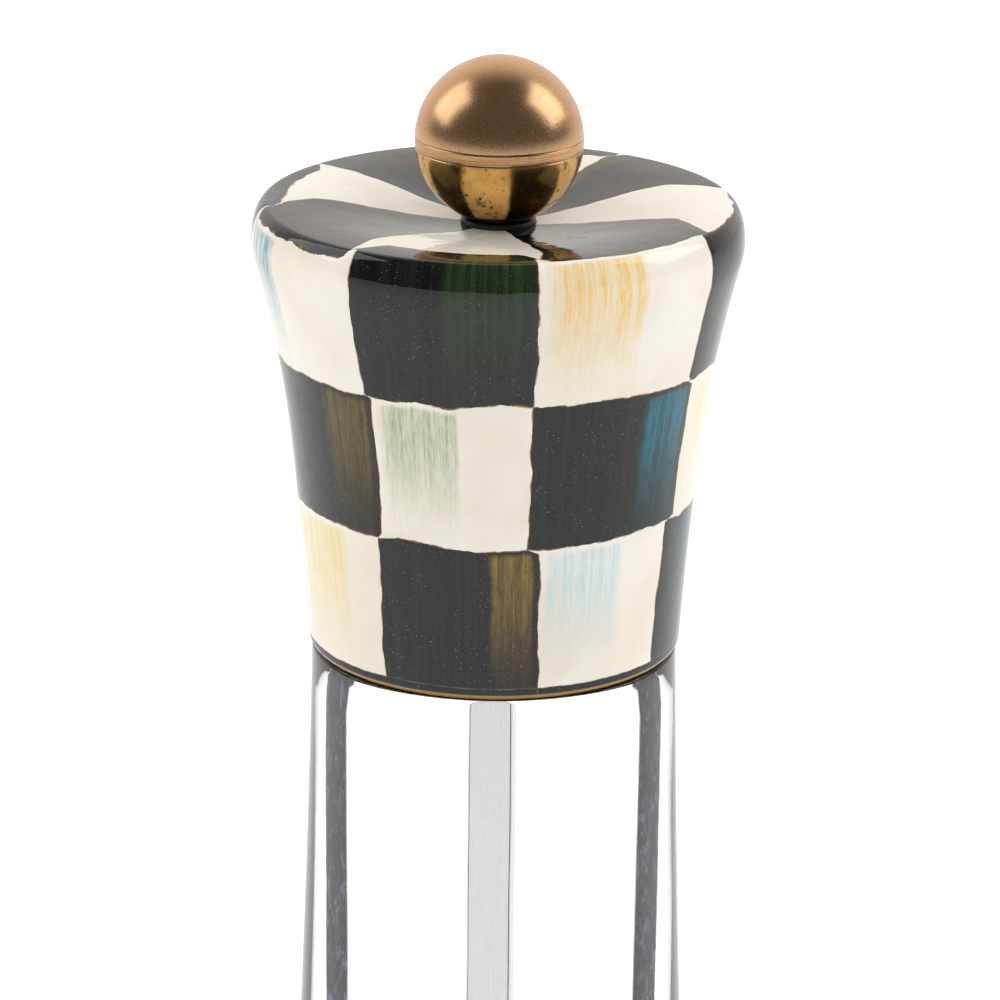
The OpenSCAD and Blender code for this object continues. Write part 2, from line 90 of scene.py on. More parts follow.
# %% Helper for finishes
class Finish:
    """A material's node tree, with a Principled shader already at its end."""

    def __init__(self, name, **shader_values):
        self.material = bpy.data.materials.new(name)
        self.material.use_nodes = True
        self.tree = self.material.node_tree
        self.tree.nodes.clear()
        self.output = self.tree.nodes.new("ShaderNodeOutputMaterial")
        self.shader = self.tree.nodes.new("ShaderNodeBsdfPrincipled")
        self.tree.links.new(self.shader.outputs[0], self.output.inputs["Surface"])
        self.shade(**shader_values)

    def feed(self, socket, value):
        """Links another node's output to a socket, or sets a plain value on it."""
        if isinstance(value, bpy.types.NodeSocket):
            self.tree.links.new(value, socket)
        elif socket.type == "RGBA" and len(value) == 3:
            socket.default_value = (*value, 1)
        else:
            socket.default_value = value

    def shade(self, **values):
        """Feeds the shader's inputs, named with _ for a space: Base_Color, Coat_Weight."""
        for name, value in values.items():
            self.feed(self.shader.inputs[name.replace("_", " ")], value)

    def node(self, kind, inputs=None, out=0, **settings):
        made = self.tree.nodes.new("ShaderNode" + kind)
        for name, value in settings.items():
            setattr(made, name, value)
        for key, value in (inputs or {}).items():
            self.feed(made.inputs[key], value)
        return made.outputs[out]

    def math(self, operation, *values, clamp=False):
        return self.node("Math", dict(enumerate(values)), operation=operation, use_clamp=clamp)

    def vector(self, operation, a, b):
        return self.node("VectorMath", {0: a, 1: b}, operation=operation)

    def parts(self, vector):
        """A vector's x, y and z."""
        made = self.tree.nodes.new("ShaderNodeSeparateXYZ")
        self.feed(made.inputs[0], vector)
        return tuple(made.outputs)

    def mix(self, share, a, b):
        """Mixes two colours."""
        made = self.tree.nodes.new("ShaderNodeMix")
        made.data_type = "RGBA"
        self.feed(made.inputs[0], share)
        self.feed(made.inputs[6], a)
        self.feed(made.inputs[7], b)
        return made.outputs[2]

    def between(self, value, low, high, to_low=0.0, to_high=1.0, smooth=True):
        """Brings a value from one range to another, and keeps it there."""
        kind = "SMOOTHSTEP" if smooth else "LINEAR"
        return self.node("MapRange", {"Value": value, "From Min": low, "From Max": high,
                                      "To Min": to_low, "To Max": to_high},
                         interpolation_type=kind)

    def place(self):
        """Where a point is, in metres from the middle of the mill's foot."""
        return self.node("TexCoord", out=3)

    def stretched(self, x, y, z):
        """The same place with each axis scaled, so that a noise is drawn out along one."""
        return self.vector("MULTIPLY", self.place(), (x, y, z))

    def noise(self, vector, scale, detail=2.0, rough=0.5, out=0):
        return self.node("TexNoise", {"Vector": vector, "Scale": scale, "Detail": detail,
                                      "Roughness": rough}, out=out)

    def dots(self, scale, size, place=None):
        """Small round specks: 1 inside a speck and 0 outside."""
        far = self.node("TexVoronoi", {"Vector": place or self.place(), "Scale": scale})
        return self.between(far, size * 0.6, size, 1.0, 0.0)

    def bump(self, height, depth_mm, normal=None, strength=1.0):
        inputs = {"Height": height, "Distance": depth_mm * MM, "Strength": strength}
        if normal is not None:
            inputs["Normal"] = normal
        return self.node("Bump", inputs)


# %% [markdown]
# ## Helpers for turned shapes
# Almost every visible part is turned on a lathe: an outline swept round the axis. The outline
# is a list of (radius, height) points. A closed outline gives a solid ring or a hollow part.
# Where the outline turns sharply the smooth shading breaks, so a turned corner stays crisp.

# %% Turn an outline
def piece_from(mesh, name, smooth_angle):
    """An object from a built mesh, smooth wherever it bends by less than the angle."""
    data = bpy.data.meshes.new(name)
    mesh.to_mesh(data)
    mesh.free()
    piece = bpy.data.objects.new(name, data)
    bpy.context.scene.collection.objects.link(piece)
    data.set_sharp_from_angle(angle=math.radians(smooth_angle))
    data.polygons.foreach_set("use_smooth", [True] * len(data.polygons))
    return piece


def turn(name, outline, closed=True, around=160, smooth_angle=28):
    """Sweeps a closed outline of (radius, height) points, in metres, round the axis."""
    mesh = bmesh.new()
    rings = []
    for radius, height in outline:
        if radius < 1e-7:
            rings.append([mesh.verts.new((0, 0, height))])
            continue
        rings.append([mesh.verts.new((radius * math.sin(a), -radius * math.cos(a), height))
                      for a in (2 * math.pi * (i / around - 0.5) for i in range(around))])
    pairs = list(zip(rings, rings[1:])) + ([(rings[-1], rings[0])] if closed else [])
    for lower, upper in pairs:
        for i in range(around):
            n = (i + 1) % around
            corners = [lower[i % len(lower)], lower[n % len(lower)],
                       upper[n % len(upper)], upper[i % len(upper)]]
            unique = list(dict.fromkeys(corners))
            if len(unique) > 2:
                mesh.faces.new(unique)
    bmesh.ops.recalc_face_normals(mesh, faces=mesh.faces)
    return piece_from(mesh, name, smooth_angle)


def arc(r, z, radius, start, end, steps):
    """Points round a circle from one angle to another, in degrees."""
    angles = [math.radians(start + (end - start) * i / steps) for i in range(steps + 1)]
    return [(r + radius * math.cos(a), z + radius * math.sin(a)) for a in angles]


def lean_curve(r, z, height, start, end, way, steps=48):
    """An outline whose lean goes evenly from one angle to another over a height."""
    a0, a1 = math.radians(start), math.radians(end)
    big = height / (math.sin(a1) - math.sin(a0))
    leans = [a0 + (a1 - a0) * i / steps for i in range(steps + 1)]
    return [(r + big * (math.cos(a0) - math.cos(a)),
             z + way * big * (math.sin(a) - math.sin(a0))) for a in leans]


def finish_with(piece, *finishes):
    piece.data.materials.clear()
    for finish in finishes:
        piece.data.materials.append(finish.material)


# %% [markdown]
# ## Sizes
# The frame's boxes give the heights and widths: where the clear body's shoulder is, where the
# head's crest is, and the middle of the ball. What a box can't tell, such as how far the side
# leans, is the same number that the lathe drawing has.

# %% Read the main sizes from the frame
def top_of(node):
    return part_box(node)[1][2]


def foot_of(node):
    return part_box(node)[0][2]


shoulder_z = foot_of("head")
crest_z = top_of("head")
seat_z = foot_of("knob_washer")
flat_z = top_of("knob_washer")
ball_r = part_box("knob")[1][0]
ball_z = top_of("knob") - ball_r
print("shoulder %.1f, crest %.1f, ball middle %.2f, ball radius %.2f mm"
      % tuple(v / MM for v in (shoulder_z, crest_z, ball_z, ball_r)))

# %% [markdown]
# ## The head's shape
# The head is one piece of beech. Its side leans out more and more towards a rounded rim, and
# its top is a shallow dish. Below it has a socket for the body's neck, a pocket for the steel
# drive plate, and a long bore for the shaft. It is swept from one closed outline, so that its
# inside is real too and shows when the head is lifted off.

# %% Outline of the head
FOOT_R = 24.86 * MM
FOOT_ROUND = 1.3 * MM
FOOT_LEAN, MID_LEAN, RIM_LEAN = 3.6, 6.1, 15.3
MID_H = 26.7 * MM
RIM_H, RIM_W = 4.6 * MM, 2.0 * MM
SOCKET_R, SOCKET_H = 22.68 * MM, 6.6 * MM
PLATE_R, PLATE_T = 13.1 * MM, 1.6 * MM
BORE_R = 4.6 * MM
BUSH_R, BUSH_H = 5.0 * MM, 7.4 * MM


def head_outside():
    """From the edge of the socket round the foot, up the side, over the rim to the middle."""
    side_z = shoulder_z + FOOT_ROUND
    points = [(SOCKET_R, shoulder_z)]
    points += arc(FOOT_R - FOOT_ROUND, side_z, FOOT_ROUND, -90, 0, 10)
    low = lean_curve(FOOT_R, side_z, MID_H, FOOT_LEAN, MID_LEAN, 1, 40)
    rim_z = crest_z - RIM_H
    start = math.atan(math.tan(math.radians(RIM_LEAN)) * RIM_H / RIM_W)
    high_h = rim_z - RIM_H * math.sin(start) - side_z - MID_H
    high = lean_curve(low[-1][0], side_z + MID_H, high_h, MID_LEAN, RIM_LEAN, 1, 44)
    rim_r = high[-1][0] - RIM_W * math.cos(start)
    rim = [(rim_r + RIM_W * math.cos(a), rim_z + RIM_H * math.sin(a))
           for a in (-start + (math.pi / 2 + start) * i / 30 for i in range(1, 31))]
    # The dish is level at the crest and again in its middle
    dish = [(BUSH_R + (rim_r - BUSH_R) * (1 - i / 46)) for i in range(1, 47)]
    top = [(r, seat_z + (crest_z - seat_z) * (1 - math.cos(math.pi * r / rim_r)) / 2)
           for r in dish]
    return points + low[1:] + high[1:] + rim + top


def head_inside():
    """From the bushing's bore down to the socket."""
    socket_z = shoulder_z + SOCKET_H
    low_bush = seat_z - BUSH_H
    return [(BUSH_R, low_bush), (BORE_R, low_bush), (BORE_R, socket_z + PLATE_T),
            (PLATE_R, socket_z + PLATE_T), (PLATE_R, socket_z), (SOCKET_R, socket_z)]


AROUND_HEAD = 256
outside = head_outside()
head = turn("painted_head", outside + head_inside(), around=AROUND_HEAD)
print("head is %.2f mm across, %d points in its outline"
      % (2 * max(r for r, z in outside) / MM, len(outside)))

# %% [markdown]
# ## The paint plan
# The brush never follows the same line twice, so each border wanders by half a millimetre or
# so. The plan is stored as a UV map: U counts columns and V counts rows, and a whole number
# is a border. Bending the plan bends the borders, while the paint itself stays a finish that
# any size of picture can show sharply.

# %% Lay out columns and rows
# Where each column begins, in degrees from the front: the top near its middle, the top at the
# rim, and the three rows of the side
COLUMN_STARTS = {
    "middle": [-164, -129, -93, -41, 12.5, 74, 115, 149],
    "rim": [-168, -127, -83, -37.5, 11, 62, 105, 148],
    1: [-170, -126, -82, -35.5, 9.5, 58, 102, 147],
    2: [-168, -124, -80, -33.2, 9.3, 60.5, 104, 149],
    3: [-171, -127, -81, -34.2, 13, 56, 101, 146],
}
# How far outside the crest the top's border runs in each column; minus is inside
RIM_BORDERS = [1.0, -2.0, 1.8, -4.4, -0.3, 0.4, 0.8, -2.5]
# Heights of the borders under rows 1 and 2, and of the line painted round the foot
ROW_HEIGHTS = [163.0 * MM, 143.5 * MM, shoulder_z + 1.65 * MM]


# How much of a column's width a step between two borders takes, and how the top's wedges
# bend: they follow the rim's starts down to one radius and the middle's from another inwards
STEP_SHARE = 0.07
RIM_RULES_R, MIDDLE_RULES_R = 30 * MM, 24 * MM
TOP_REACH, LINE_REACH = 32 * MM, 8 * MM


def hand(x, y, z, size):
    """A slow wander between -1 and 1, the same on every run."""
    return noise.noise(Vector((x, y, z)) / size)


def columns_round(starts, degrees):
    """How many columns round a bearing is."""
    turned = (degrees - starts[0]) % 360
    edges = [(s - starts[0]) % 360 for s in starts] + [360]
    i = max(k for k in range(8) if edges[k] <= turned + 1e-9)
    return i + (turned - edges[i]) / (edges[i + 1] - edges[i])


# How far along the outline each point is, counted outwards from the crest
crest_at = max(range(len(outside)), key=lambda i: outside[i][1])
along = [0.0]
for (r0, z0), (r1, z1) in zip(outside, outside[1:]):
    along.append(along[-1] + math.hypot(r1 - r0, z1 - z0))
from_crest = [along[crest_at] - a for a in along]


def reach_at(height):
    """Distance along the side from the crest down to a height."""
    side = list(zip(from_crest, outside))[:crest_at + 1]
    for (s0, (r0, z0)), (s1, (r1, z1)) in zip(side, side[1:]):
        if z0 <= height <= z1 and z1 > z0:
            return s0 + (s1 - s0) * (height - z0) / (z1 - z0)
    raise ValueError("height is off the side")


ROW_REACH = [reach_at(z) for z in ROW_HEIGHTS]


def plan_at(x, y, z, s):
    """The paint plan's U and V for a point on the outside, s along from the crest."""
    degrees = math.degrees(math.atan2(x, -y))
    radius = max(math.hypot(x, y), 1 * MM)
    sway = (0.5 * hand(x, y, z, 8 * MM) + 0.3 * hand(z, x, y, 3 * MM)) * MM
    bearing = degrees + math.degrees(sway / radius)
    # The top's border steps from one column's place to the next over a few degrees
    u_rim = columns_round(COLUMN_STARTS[1], bearing)
    i, part = int(u_rim) % 8, u_rim % 1
    past = part - 1 + STEP_SHARE if part > 0.5 else STEP_SHARE - part
    step = max(0.0, past / (2 * STEP_SHARE))
    other = RIM_BORDERS[(i + (1 if part > 0.5 else -1)) % 8]
    border = RIM_BORDERS[i] + (other - RIM_BORDERS[i]) * step
    edges = [(border + 0.5 * hand(x, y, 0, 7 * MM) + 0.3 * hand(y, x, 0, 2.5 * MM)) * MM]
    edges += [reach + (0.7 * hand(x, y, reach, 9 * MM) + 0.3 * hand(y, x, reach, 3 * MM)) * MM
              for reach in ROW_REACH[:2]]
    edges += [ROW_REACH[2] + 0.15 * MM * hand(x, y, 0, 6 * MM)]
    if s < edges[0]:
        inner = (RIM_RULES_R - radius) / (RIM_RULES_R - MIDDLE_RULES_R)
        inner = min(1.0, max(0.0, inner))
        by_rim = columns_round(COLUMN_STARTS["rim"], bearing)
        by_middle = columns_round(COLUMN_STARTS["middle"], bearing)
        wraps = abs(by_rim - by_middle) > 4
        u = by_middle if wraps else by_rim * (1 - inner) + by_middle * inner
        return u, 1 + (s - edges[0]) / TOP_REACH
    for row in (1, 2, 3):
        if s < edges[row]:
            return (columns_round(COLUMN_STARTS[row], bearing),
                    row + (s - edges[row - 1]) / (edges[row] - edges[row - 1]))
    return columns_round(COLUMN_STARTS[3], bearing), 4 + (s - edges[3]) / LINE_REACH


print("rows end at", [round(r / MM, 1) for r in ROW_REACH], "mm from the crest")

# %% [markdown]
# The sweep makes its points ring by ring, so a point's ring tells how far it is along the
# outline. Faces on the head's inside get the second finish, bare wood, and no paint.

# %% Store the plan as a UV map
def lay_plan(piece):
    mesh = piece.data
    uv = mesh.uv_layers.new(name="paint_plan")
    rings = len(outside)
    painted = 0
    for face in mesh.polygons:
        ring_of = [v // AROUND_HEAD for v in face.vertices]
        if max(ring_of) >= rings or min(ring_of) == 0:
            face.material_index = 1
            continue
        painted += 1
        places = [plan_at(*mesh.vertices[v].co, from_crest[k])
                  for v, k in zip(face.vertices, ring_of)]
        for loop, (u, v) in zip(face.loop_indices, places):
            turns = round((u - places[0][0]) / 8)
            uv.data[loop].uv = (u - 8 * turns, v)
    print("painted faces:", painted, "bare faces:", len(mesh.polygons) - painted)


lay_plan(head)

# %% [markdown]
# ## The paint
# Cream and black enamel, laid on with a flat brush, with strokes of thinned colour dragged
# down some of the checks, all under a thick clear varnish. One colour ramp for each row holds
# its strokes: the ramp's colour is the stroke's, and its alpha is how strong the stroke is.
# Streaks come from a noise squeezed across the brush's path and drawn out along it.

# %% Mix the colours
def paint_colour(red, green, blue):
    """A paint chip's 0-255 colour as light."""
    return tuple((c / 255 / 12.92) if c < 11 else ((c / 255 + 0.055) / 1.055) ** 2.4
                 for c in (red, green, blue))


CREAM = paint_colour(236, 232, 222)
WARM_CREAM = paint_colour(228, 219, 204)
BLACK = paint_colour(13, 14, 15)
SOFT_BLACK = paint_colour(34, 35, 36)
OUTLINE = paint_colour(120, 84, 38)
# Strokes by row: column, where they start and end across it, colour, strength
STROKES = {
    0: [(0, 0.80, 0.99, (24, 92, 124), 0.9), (1, 0.10, 0.45, (196, 206, 200), 0.5),
        (3, 0.04, 0.45, (190, 208, 206), 0.6), (3, 0.55, 0.9, (222, 206, 180), 0.6),
        (5, 0.3, 0.6, (226, 214, 190), 0.4), (6, 0.84, 0.99, (168, 134, 56), 0.9),
        (7, 0.1, 0.5, (200, 214, 190), 0.5)],
    1: [(0, 0.1, 0.6, (214, 176, 72), 0.9), (1, 0.6, 0.95, (20, 84, 104), 0.9),
        (2, 0.03, 0.40, (78, 142, 156), 1.0), (3, 0.5, 0.98, (40, 62, 30), 0.9),
        (4, 0.04, 0.56, (232, 190, 92), 1.0), (5, 0.55, 0.8, (96, 84, 40), 0.5),
        (6, 0.35, 0.85, (186, 206, 208), 0.9), (7, 0.6, 0.95, (118, 98, 44), 0.8)],
    2: [(0, 0.05, 0.4, (26, 92, 110), 0.8), (1, 0.4, 0.9, (226, 206, 130), 0.9),
        (2, 0.62, 0.98, (112, 98, 34), 0.9), (3, 0.05, 0.56, (150, 168, 126), 1.0),
        (4, 0.62, 0.97, (6, 116, 138), 1.0), (5, 0.05, 0.8, (232, 220, 168), 0.9),
        (6, 0.5, 0.9, (44, 66, 34), 0.8), (7, 0.1, 0.5, (176, 200, 206), 0.9)],
    3: [(0, 0.1, 0.5, (190, 208, 190), 0.9), (1, 0.1, 0.4, (116, 96, 46), 0.8),
        (2, 0.1, 0.74, (228, 206, 128), 1.0), (3, 0.70, 0.97, (142, 114, 48), 1.0),
        (4, 0.03, 0.6, (186, 210, 216), 1.0), (5, 0.1, 0.5, (24, 70, 84), 0.6),
        (6, 0.2, 0.7, (224, 190, 100), 0.9), (7, 0.6, 0.95, (20, 88, 108), 0.8)],
}


def stroke_ramp(finish, share, strokes):
    """A ramp over the eight columns: colour and strength of the strokes of one row."""
    made = finish.tree.nodes.new("ShaderNodeValToRGB")
    finish.feed(made.inputs[0], share)
    ramp = made.color_ramp
    stops = []
    for column, start, stop, chip, strength in strokes:
        soft = 0.05 * (stop - start) + 0.01
        for at, alpha in ((start, 0), (start + soft, strength), (stop - soft, strength),
                          (stop, 0)):
            stops.append(((column + at) / 8, (*paint_colour(*chip), alpha)))
    # A ramp starts with two points of its own and holds 32 at most
    ramp.elements[0].position, ramp.elements[0].color = stops[0]
    ramp.elements[1].position, ramp.elements[1].color = stops[-1]
    for position, light in stops[1:-1]:
        ramp.elements.new(position).color = light
    return made.outputs[0], made.outputs[1]


print("strokes:", sum(len(s) for s in STROKES.values()))

# %% Paint the checks
paint = Finish("hand_painted_checks", Roughness=0.5, Coat_Weight=1.0, Coat_Roughness=0.04,
               Coat_IOR=1.5, Specular_IOR_Level=0.0)
plan = paint.node("UVMap", uv_map="paint_plan")
plan_u, plan_v = paint.parts(plan)[:2]
ragged = paint.math("SUBTRACT", paint.noise(paint.place(), 300, 3, 0.6), 0.5)
ragged_too = paint.math("SUBTRACT", paint.noise(paint.stretched(1.0, 1.0, -1.0), 520, 3, 0.6),
                        0.5)
u = paint.math("MULTIPLY_ADD", ragged, 0.026, plan_u)
v = paint.math("MULTIPLY_ADD", ragged_too, 0.034, plan_v)
sum_of_two = paint.math("ADD", paint.math("FLOOR", u), paint.math("FLOOR", v))
is_cream = paint.math("GREATER_THAN", paint.math("FLOORED_MODULO", sum_of_two, 2.0), 0.5)
in_line = paint.math("GREATER_THAN", v, 4.0)
is_cream = paint.math("MULTIPLY", is_cream, paint.math("SUBTRACT", 1.0, in_line))


def to_border(finish, count, size):
    """Distance in mm from a value to the nearest whole number."""
    part = finish.math("FRACT", count)
    near = finish.math("MINIMUM", part, finish.math("SUBTRACT", 1.0, part))
    return finish.math("MULTIPLY", near, size)


border = paint.math("MINIMUM", to_border(paint, u, 22.0), to_border(paint, v, 20.0))

# Brush streaks: squeezed round the head, drawn out down the rows
level = paint.vector("MULTIPLY", paint.place(), (1.0, 1.0, 0.0))
bearing = paint.node("VectorMath", {0: level}, operation="NORMALIZE")


def drawn_out(across, down):
    """A place that changes fast round the head and slowly down it."""
    low = paint.node("CombineXYZ", {2: paint.math("MULTIPLY", plan_v, down)})
    return paint.vector("ADD", paint.vector("MULTIPLY", bearing, (across, across, 0.0)), low)


streaks = paint.noise(drawn_out(34.0, 0.5), 1.0, 3.0, 0.6)
hairs = paint.noise(drawn_out(150.0, 1.4), 1.0, 3.0, 0.65)
bristles = paint.math("ADD", paint.math("MULTIPLY", streaks, 0.6),
                      paint.math("MULTIPLY", hairs, 0.4))

# Base coats
cloudy = paint.noise(paint.place(), 75, 3, 0.55)
cream = paint.mix(paint.between(cloudy, 0.35, 0.7), CREAM, WARM_CREAM)
cream = paint.mix(paint.between(hairs, 0.5, 0.75, 0.0, 0.35), cream, WARM_CREAM)
black = paint.mix(paint.between(streaks, 0.4, 0.75, 0.0, 0.7), BLACK, SOFT_BLACK)
dust = paint.math("MAXIMUM", paint.dots(1300, 0.13), paint.dots(1900, 0.15))
specks = paint.math("MULTIPLY", dust,
                    paint.between(paint.noise(paint.place(), 260, 2), 0.42, 0.62, 0.1, 1.0))
black = paint.mix(paint.math("MULTIPLY", specks, 0.4), black, paint_colour(176, 178, 174))
colour = paint.mix(is_cream, black, cream)

# Strokes of thinned colour, row by row
share = paint.math("DIVIDE", u, 8.0)
row = paint.math("FLOOR", v)
down = paint.math("FRACT", v)
ends = paint.math("MULTIPLY", paint.between(down, 0.01, 0.06), paint.between(
    paint.math("ADD", down, paint.math("MULTIPLY", streaks, 0.5)), 0.45, 1.25, 1.0, 0.08))
dry = paint.between(paint.noise(drawn_out(60.0, 9.0), 1.0, 2, 0.6), 0.35, 0.6, 0.62, 1.0)
covered = paint.math("MULTIPLY", paint.between(bristles, 0.42, 0.60, 0.42, 1.0),
                     paint.math("MULTIPLY", ends, dry))
for number, strokes in STROKES.items():
    chip, strength = stroke_ramp(paint, share, strokes)
    here = paint.math("COMPARE", row, float(number), 0.1)
    amount = paint.math("MULTIPLY", paint.math("MULTIPLY", strength, covered), here)
    colour = paint.mix(amount, colour, chip)

# A thin brown edge where one paint laps over the other, and the blue edge over the foot line
lap = paint.math("MULTIPLY", paint.between(border, 0.05, 0.16, 1.0, 0.0),
                 paint.between(paint.noise(paint.place(), 330, 2), 0.42, 0.6, 0.0, 0.8))
colour = paint.mix(lap, colour, OUTLINE)
over_line = paint.math("MULTIPLY", paint.between(plan_v, 3.985, 3.992),
                       paint.between(plan_v, 3.999, 4.004, 1.0, 0.0))
colour = paint.mix(paint.math("MULTIPLY", over_line, 0.2), colour, paint_colour(60, 128, 140))
GOLD_LINE_H, GOLD_LINE_EDGE = 0.84 * MM, 0.06 * MM
gold_top = shoulder_z + GOLD_LINE_H
height = paint.parts(paint.place())[2]
gold_line = paint.between(height, gold_top, gold_top + GOLD_LINE_EDGE, 0.7, 0.0)
colour = paint.mix(gold_line, colour, paint_colour(176, 134, 72))
paint.shade(Base_Color=colour)

# Brush marks under the varnish, and the varnish's own slow ripple
thickness = paint.math("ADD", paint.math("MULTIPLY", bristles, 0.5),
                       paint.between(border, 0.0, 0.5, 0.0, 0.5))
paint.shade(Normal=paint.bump(thickness, 0.05))
ripple = paint.math("ADD", paint.math("MULTIPLY", paint.noise(paint.place(), 160, 2), 1.0),
                    paint.math("MULTIPLY", paint.between(border, 0.0, 0.9), 0.12))
paint.shade(Coat_Normal=paint.bump(ripple, 0.10))
print("nodes in the paint:", len(paint.tree.nodes))

# %% [markdown]
# ## Bare wood
# Inside its socket and bore the head is bare beech, with fine grain along its axis and short
# dark flecks. Grain is a noise drawn out along the axis, so it is stretched in Z.

# %% Bare beech
wood = Finish("bare_beech", Roughness=0.62)
grain = wood.noise(wood.stretched(900, 900, 60), 1.0, 4, 0.6)
flecks = wood.noise(wood.stretched(2400, 2400, 260), 1.0, 2, 0.5)
tone = wood.mix(wood.between(grain, 0.35, 0.7), paint_colour(214, 178, 132),
                paint_colour(186, 146, 102))
wood.shade(Base_Color=wood.mix(wood.between(flecks, 0.6, 0.72, 0.0, 0.5), tone,
                               paint_colour(128, 88, 56)))
wood.shade(Normal=wood.bump(grain, 0.06))
finish_with(head, paint, wood)
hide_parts("head")
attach(head, "head")

# %% [markdown]
# ## The ball
# The knob is a brass ball, screwed down on the shaft's stud. It was turned in one go: two fine
# lines run round it just above and below its middle, and the band between them is left with
# the tool's fine rings. The ball is brushed to a satin, sandy look above. Below, it is
# brighter, with small dark pits and dark upright streaks. Its rings are real grooves in the
# outline.

# %% Turn the ball
LINE_DEPTH, LINE_SPREAD = 0.12 * MM, 1.6
BAND_UP, BAND_DOWN = 0.5 * MM, 1.0 * MM
BALL_BORE_R = 2.58 * MM
ball_flat_r = math.sqrt(ball_r ** 2 - (ball_z - flat_z) ** 2)
stud_top_z = top_of("shaft_stud")


def ball_outline():
    low = math.degrees(math.asin((flat_z - ball_z) / ball_r))
    points = [(BALL_BORE_R, flat_z)]
    heights = []
    for edge in (-BAND_DOWN, BAND_UP):
        heights += [edge + LINE_DEPTH * step for step in (-LINE_SPREAD, -1, 0, 1, LINE_SPREAD)]
    angles = sorted([low + (90 - low) * i / 90 for i in range(90)]
                    + [math.degrees(math.asin(h / ball_r)) for h in heights])
    for angle in angles:
        a = math.radians(angle)
        height = ball_r * math.sin(a)
        near = min(abs(height + BAND_DOWN), abs(height - BAND_UP))
        radius = ball_r * math.cos(a) - max(0.0, LINE_DEPTH - near)
        points.append((radius, ball_z + height))
    points.append((0.0, ball_z + ball_r))
    top = stud_top_z + 2 * MM
    return points + [(0.0, top), (BALL_BORE_R, top)]


ball = turn("brass_ball", ball_outline(), around=192, smooth_angle=60)
print("ball's flat is %.2f mm in radius" % (ball_flat_r / MM))

# %% Satin brass
brass = Finish("satin_brass", Metallic=1.0)
z = brass.parts(brass.place())[2]
lower = brass.between(z, ball_z - 1.6 * MM, ball_z - 0.6 * MM, 1.0, 0.0)
band_low, band_high, band_edge = ball_z - BAND_DOWN, ball_z + BAND_UP, 0.05 * MM
in_band = brass.math("MULTIPLY", brass.between(z, band_low, band_low + band_edge),
                     brass.between(z, band_high - band_edge, band_high, 1.0, 0.0))
sand = brass.noise(brass.place(), 5200, 2, 0.6)
blotch = brass.noise(brass.place(), 230, 3, 0.6)
rings = brass.noise(brass.stretched(60, 60, 9000), 1.0, 3, 0.7)
tone = brass.mix(brass.between(sand, 0.35, 0.68), paint_colour(202, 158, 118),
                 paint_colour(217, 176, 134))
gold = brass.mix(brass.between(blotch, 0.4, 0.65), paint_colour(216, 172, 104),
                 paint_colour(192, 144, 82))
tone = brass.mix(lower, tone, gold)
tone = brass.mix(brass.math("MULTIPLY", in_band, brass.between(rings, 0.4, 0.7)), tone,
                 paint_colour(150, 108, 66))
pits = brass.math("MULTIPLY", brass.dots(900, 0.30),
                  brass.between(brass.noise(brass.place(), 210, 3, 0.6), 0.47, 0.60))
dark_streaks = brass.between(brass.noise(brass.stretched(1.0, 1.0, 0.55), 420, 4, 0.7), 0.54, 0.68,
                       0.0, 0.8)
dark = brass.math("MULTIPLY", brass.math("MAXIMUM", pits, dark_streaks),
                  brass.between(lower, 0.0, 1.0, 0.10, 0.85))
tone = brass.mix(dark, tone, paint_colour(70, 46, 26))
brass.shade(Base_Color=tone)
rough = brass.between(sand, 0.3, 0.7, 0.24, 0.28)
rough = brass.math("SUBTRACT", rough, brass.math("MULTIPLY", lower, 0.07))
rough = brass.math("ADD", rough, brass.math("MULTIPLY", dark, 0.3))
brass.shade(Roughness=rough)
relief = brass.math("ADD", brass.math("MULTIPLY", sand, 0.25),
                    brass.math("MULTIPLY", rings, brass.between(in_band, 0.0, 1.0, 0.2, 1.0)))
relief = brass.math("SUBTRACT", relief, brass.math("MULTIPLY", pits, 0.6))
brass.shade(Normal=brass.bump(relief, 0.006))
finish_with(ball, brass)
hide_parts("knob")
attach(ball, "knob")

# %% [markdown]
# ## The clear body
# The body is a thick tube of clear acrylic, turned and polished, with a neck that goes up into
# the head and a spreading foot. What gives it away as thick is how its wall bends light: near
# the sides one looks along the wall, not through it, and dark upright strips show there. They
# are painted shade, an approximation: seen from inside the wall, the bore's surface is painted
# dark over a narrow range of slants, which the shader's Layer Weight node measures. It was
# judged from 12 to 20 degrees above level only. From steeply above, the strips come out too
# wide.

# %% Turn the body
NECK_R, NECK_H, NECK_EDGE = 22.6 * MM, 6.0 * MM, 0.15 * MM
MOUTH_R, MOUTH_H = 21.2 * MM, 3.0 * MM
BORE_WALL_R = 20.5 * MM
SHOULDER_R, SHOULDER_ROUND = 24.43 * MM, 0.5 * MM
SHOULDER_LEAN, WAIST_LEAN, BASE_LEAN = 1.35, 3.1, 13
WAIST_Z, RING_T, BASE_ROUND = 34 * MM, 0.8 * MM, 1.0 * MM
THROAT_R, FUNNEL_Z = 13.2 * MM, 40.0 * MM
SEAT_R, SEAT_TOP = 15.03 * MM, 27.02 * MM
RECESS_R, RECESS_Z = 23.5 * MM, 14.0 * MM
JOINT_GAP = 0.05 * MM


